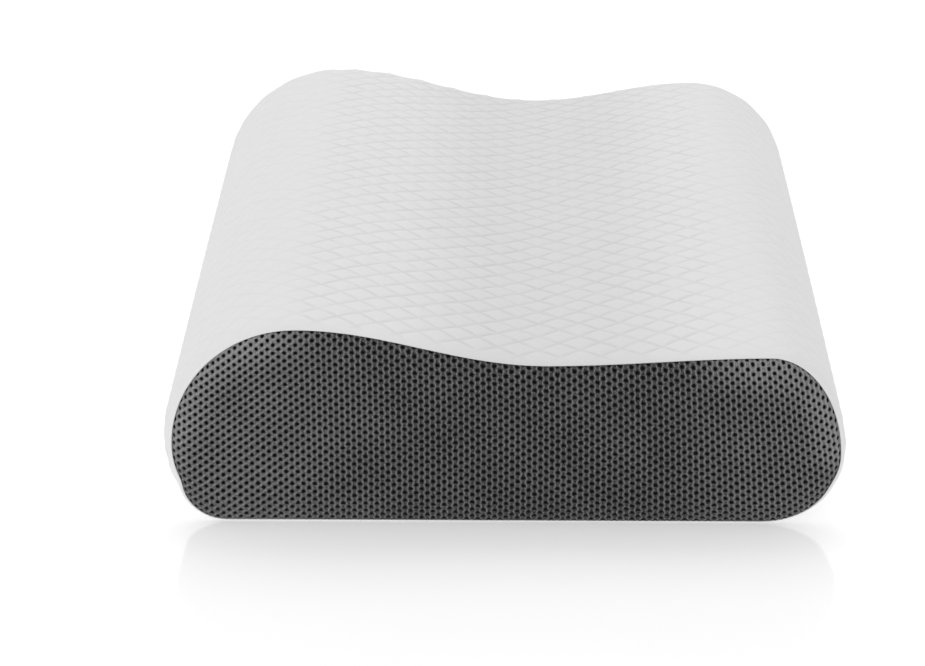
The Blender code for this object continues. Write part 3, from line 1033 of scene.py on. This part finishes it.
class EndCloth:
    """The flat cloth of one end, drawn as seen from the front, and how it lies on the pillow."""

    def __init__(self, end):
        self.end = end
        self.stations = np.linspace(0.0, 2.0, ROUND_SAMPLES, endpoint=False)
        around = Skin(self.stations)
        ring = around.place(np.zeros(ROUND_SAMPLES), np.full(ROUND_SAMPLES, end * LENGTH / 2))
        self.edge = ring[:, [0, 2]]
        self.facing = around.facing
        cut = (self.flat_reach(around, around.seam) - 1.0) * around.inward + CELLS_PAST_SEAM
        self.cut = self.edge + self.facing * cut[:, None]
        self.tree = kdtree.KDTree(ROUND_SAMPLES)
        for i, (x, z) in enumerate(self.edge):
            self.tree.insert((x, z, 0.0), i)
        self.tree.balance()

    def flat_reach(self, local, leaning):
        """Flat width of a turn, in radii: as seen from the front, but as long as its arc where it faces down."""
        tucked = np.clip(-local.facing[:, 1] * TUCK, 0.0, 1.0)
        arc = (local.turn_run[:, -1] - local.run_at(math.pi / 2 - leaning)) / local.inward
        return (1 - tucked) * np.sin(leaning) + tucked * arc

    def painted_light_near_edge(self, flat):
        """Painted light near the outline, from 0 well inside the panel to 1 at its outline, along the top and
        the sides alone.
        """
        nearest = np.array([self.tree.find((x, z, 0.0))[1] for x, z in flat])
        facing = self.facing[nearest]
        out = ((flat - self.edge[nearest]) * facing).sum(axis=1)
        at_ends = smooth_step((np.abs(flat[:, 0]) - PAINTED_EDGE_LIGHT_FROM_X) / 0.050)
        return smooth_step(out / PAINTED_EDGE_LIGHT_OVER + 1.0) * at_ends * smooth_step(facing[:, 1] / 0.6 + 0.8)

    def leaning_at(self, local, reach):
        """The angle of the turn at a flat width, by halving."""
        low = np.zeros(len(reach))
        high = local.seam.copy()
        for _ in range(20):
            middle = (low + high) / 2
            short = self.flat_reach(local, middle) < reach
            low = np.where(short, middle, low)
            high = np.where(short, high, middle)
        return (low + high) / 2

    def read_ring(self, values, at):
        """Values of the ring read between its samples."""
        low = np.floor(at).astype(int) % ROUND_SAMPLES
        share = (at - np.floor(at))[:, None]
        return values[low] * (1 - share) + values[(low + 1) % ROUND_SAMPLES] * share

    def find_ring(self, flat):
        """Where on the ring each flat point's outward line starts, and how far out along it the point lies."""
        found = [self.tree.find((x, z, 0.0)) for x, z in flat]
        at = np.array([index for _, index, _ in found], float)
        near = np.array([distance for _, _, distance in found])
        for _ in range(RING_TRIES):
            facing = self.read_ring(self.facing, at)
            away = flat - self.read_ring(self.edge, at)
            out = (away * facing).sum(axis=1)
            slip = away[:, 0] * facing[:, 1] - away[:, 1] * facing[:, 0]
            pair = [self.read_ring(self.edge, at + k) + self.read_ring(self.facing, at + k) * out[:, None]
                    for k in (1, -1)]
            gap = np.maximum(np.linalg.norm(pair[0] - pair[1], axis=1) / 2, RING_LEAST_GAP)
            at = at - np.clip(slip / gap, -RING_LONGEST_STEP, RING_LONGEST_STEP)
        return at % ROUND_SAMPLES, out, near

    def carry(self, flat, depth):
        """World points of flat cloth points (x, z) at a depth under the cloth's face."""
        at, out, near = self.find_ring(flat)
        here = at * (2.0 / ROUND_SAMPLES)
        local = Skin(here)
        to_seam = (self.flat_reach(local, local.seam) - 1.0) * local.inward
        leaning = self.leaning_at(local, np.maximum(out / local.inward + 1.0, 0.0))
        run = local.straight + local.run_at(math.pi / 2 - leaning)
        run = run - np.maximum(out - to_seam, 0.0)
        dip = smooth_step((run - local.seam_run) / -PANEL_DIPS_OVER + 1.0)
        front = PANEL_FRONT_UNDER + (PANEL_UNDER_LIP - PANEL_FRONT_UNDER) * dip
        under = front + depth / NET_DEEP * (PANEL_BACK_UNDER - front)
        turned = local.at_run(self.end, run, under)
        inside = (out <= -local.inward) | (near > local.inward)
        level = np.c_[flat[:, 0], self.end * (LENGTH / 2 - under), flat[:, 1]]
        return np.where(inside[:, None], level, turned)


near_cloth = EndCloth(-1)
far_cloth = EndCloth(1)
print("cut of the near panel, low and high corner:", near_cloth.cut.min(axis=0).round(4),
      near_cloth.cut.max(axis=0).round(4))


# %% Building a panel
def flat_piece(name, corners):
    """A flat filled outline as an object."""
    mesh = bpy.data.meshes.new(name)
    mesh.from_pydata([(x, y, 0.0) for x, y in corners], [], [list(range(len(corners)))])
    piece = bpy.data.objects.new(name, mesh)
    bpy.context.scene.collection.objects.link(piece)
    return piece


def make_tile():
    tile = flat_piece("net_tile", tile_corners())
    for k, vertex in enumerate(tile.data.vertices):
        vertex.co.z = 0.0 if k % 5 in (1, 4) else -BAR_LOWER
    return tile


def net_outline(cloth):
    """The cut cloth's outline with the drift taken out, so that the straight net fills it."""
    wanted = cloth.cut[:: ROUND_SAMPLES // 600]
    corners = wanted.copy()
    for _ in range(8):
        corners = wanted - drift(corners)
    return corners


def make_panel(name, cloth, tile):
    corners = net_outline(cloth)
    panel = flat_piece(name, corners if cloth.end < 0 else corners[::-1])
    centre = (NET_ORIGIN[0], NET_ORIGIN[1] + HOLE_PITCH / 4, 0.0)
    mesh = apply_tree(panel, net, {
        "Tile": tile, "Columns": NET_COLUMNS, "Rows": NET_ROWS, "Column Pitch": COLUMN_PITCH,
        "Hole Pitch": HOLE_PITCH, "Hole Size": (HOLE_WIDTH, HOLE_HEIGHT, 1.0), "Taper": HOLE_TAPER,
        "Pit Depth": PIT_DEEP, "Thickness": NET_DEEP, "Centre": centre,
        "Wobble": WOBBLE})
    flat = np.empty(len(mesh.vertices) * 3)
    mesh.vertices.foreach_get("co", flat)
    flat = flat.reshape(-1, 3)
    stretched = flat[:, :2] + drift(flat[:, :2])
    mesh.vertices.foreach_set("co", cloth.carry(stretched, -flat[:, 2]).ravel())
    paint_net(mesh, flat)
    # The edge attribute holds painted light: how much paler the net is painted near its outline.
    edge = mesh.attributes.new("edge", "FLOAT", "POINT")
    edge.data.foreach_set("value", cloth.painted_light_near_edge(stretched))
    tidy_normals(mesh)
    return panel


def paint_net(mesh, flat):
    """The rib attribute and the cloth map of a flat net."""
    rib = np.where(flat[:, 2] > -PIT_DEEP / 2, 1.0, 0.0)
    values = mesh.attributes.new("rib", "FLOAT", "POINT")
    values.data.foreach_set("value", rib)
    corner_of = np.empty(len(mesh.loops), int)
    mesh.loops.foreach_get("vertex_index", corner_of)
    cloth_map = mesh.uv_layers.new(name="cloth")
    cloth_map.data.foreach_set("uv", flat[corner_of][:, :2].ravel())


def tidy_normals(mesh):
    work = bmesh.new()
    work.from_mesh(mesh)
    bmesh.ops.recalc_face_normals(work, faces=work.faces)
    work.to_mesh(mesh)
    work.free()
    mesh.shade_smooth()


tile = make_tile()
near_panel = make_panel("near_mesh", near_cloth, tile)
far_panel = make_panel("far_mesh", far_cloth, tile)
bpy.data.objects.remove(tile)
print("faces of the panels:", len(near_panel.data.polygons), len(far_panel.data.polygons))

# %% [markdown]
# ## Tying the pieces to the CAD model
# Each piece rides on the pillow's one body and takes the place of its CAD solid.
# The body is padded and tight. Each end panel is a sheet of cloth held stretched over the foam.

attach(body, "root")
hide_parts("quilted_cover_body")
for panel, node in ((near_panel, "near_mesh_panel"), (far_panel, "far_mesh_panel")):
    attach(panel, "root")
    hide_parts(node)
print("pieces tied: 3")

# %% [markdown]
# ## The studio
# The photograph has a white sweep with a faint reflection under the pillow, and very soft light: most of it
# from above and behind, which draws the quilting, and a weaker one in front that fills the mesh.

# %% Floor
FLOOR_RADIUS = 2.8
FLOOR_ROUGHNESS = 0.12
FLOOR_GLOW = 0.28
FLOOR_CORNERS = 96


def make_floor():
    material, bench, shader = start_material("white_sweep")
    shader.inputs["Base Color"].default_value = (0.95, 0.95, 0.95, 1.0)
    shader.inputs["Roughness"].default_value = FLOOR_ROUGHNESS
    shader.inputs["Specular IOR Level"].default_value = 0.8
    shader.inputs["Emission Color"].default_value = (1.0, 1.0, 1.0, 1.0)
    shader.inputs["Emission Strength"].default_value = FLOOR_GLOW
    turns = [2 * math.pi * k / FLOOR_CORNERS for k in range(FLOOR_CORNERS)]
    floor = flat_piece("floor", [(FLOOR_RADIUS * math.cos(t), FLOOR_RADIUS * math.sin(t)) for t in turns])
    floor.data.materials.append(material)
    return floor


floor = make_floor()
print("floor laid")

# %% Light
SOFTBOXES = [
    ("back_high", (0.0, 1.3, 2.3), (2.2, 1.4), 12.0),
    ("top", (0.0, 0.1, 2.4), (2.2, 2.0), 1.0),
    ("left_high", (-2.0, 0.3, 1.6), (1.4, 2.0), 1.4),
    ("left_front", (-1.2, -1.2, 0.6), (0.8, 0.8), 1.5),
    ("front_low", (0.0, -2.9, 0.9), (2.6, 1.2), 5.0),
]
AIM = Vector((0.0, 0.0, 0.06))
AMBIENT = 0.74


def hang_softbox(name, place, size, watts):
    data = bpy.data.lights.new(name, "AREA")
    data.shape = "RECTANGLE"
    data.size, data.size_y = size
    data.energy = watts
    lamp = bpy.data.objects.new(name, data)
    lamp.visible_camera = False
    lamp.location = place
    lamp.rotation_euler = (AIM - Vector(place)).to_track_quat("-Z", "Y").to_euler()
    bpy.context.scene.collection.objects.link(lamp)


def make_world():
    """White all round for the eye, dimmer as a source of light."""
    world = bpy.data.worlds.new("white_room")
    world.use_nodes = True
    bench = Bench(world.node_tree)
    background = world.node_tree.nodes["Background"]
    background.inputs["Color"].default_value = (1.0, 1.0, 1.0, 1.0)
    path = bench.put("ShaderNodeLightPath", None, None, "Is Camera Ray")
    strength = path * (1.0 - AMBIENT) + AMBIENT
    world.node_tree.links.new(strength.socket, background.inputs["Strength"])
    bpy.context.scene.world = world


for softbox in SOFTBOXES:
    hang_softbox(*softbox)
make_world()
bpy.context.scene.view_settings.view_transform = "Standard"
print("lights:", len(SOFTBOXES))
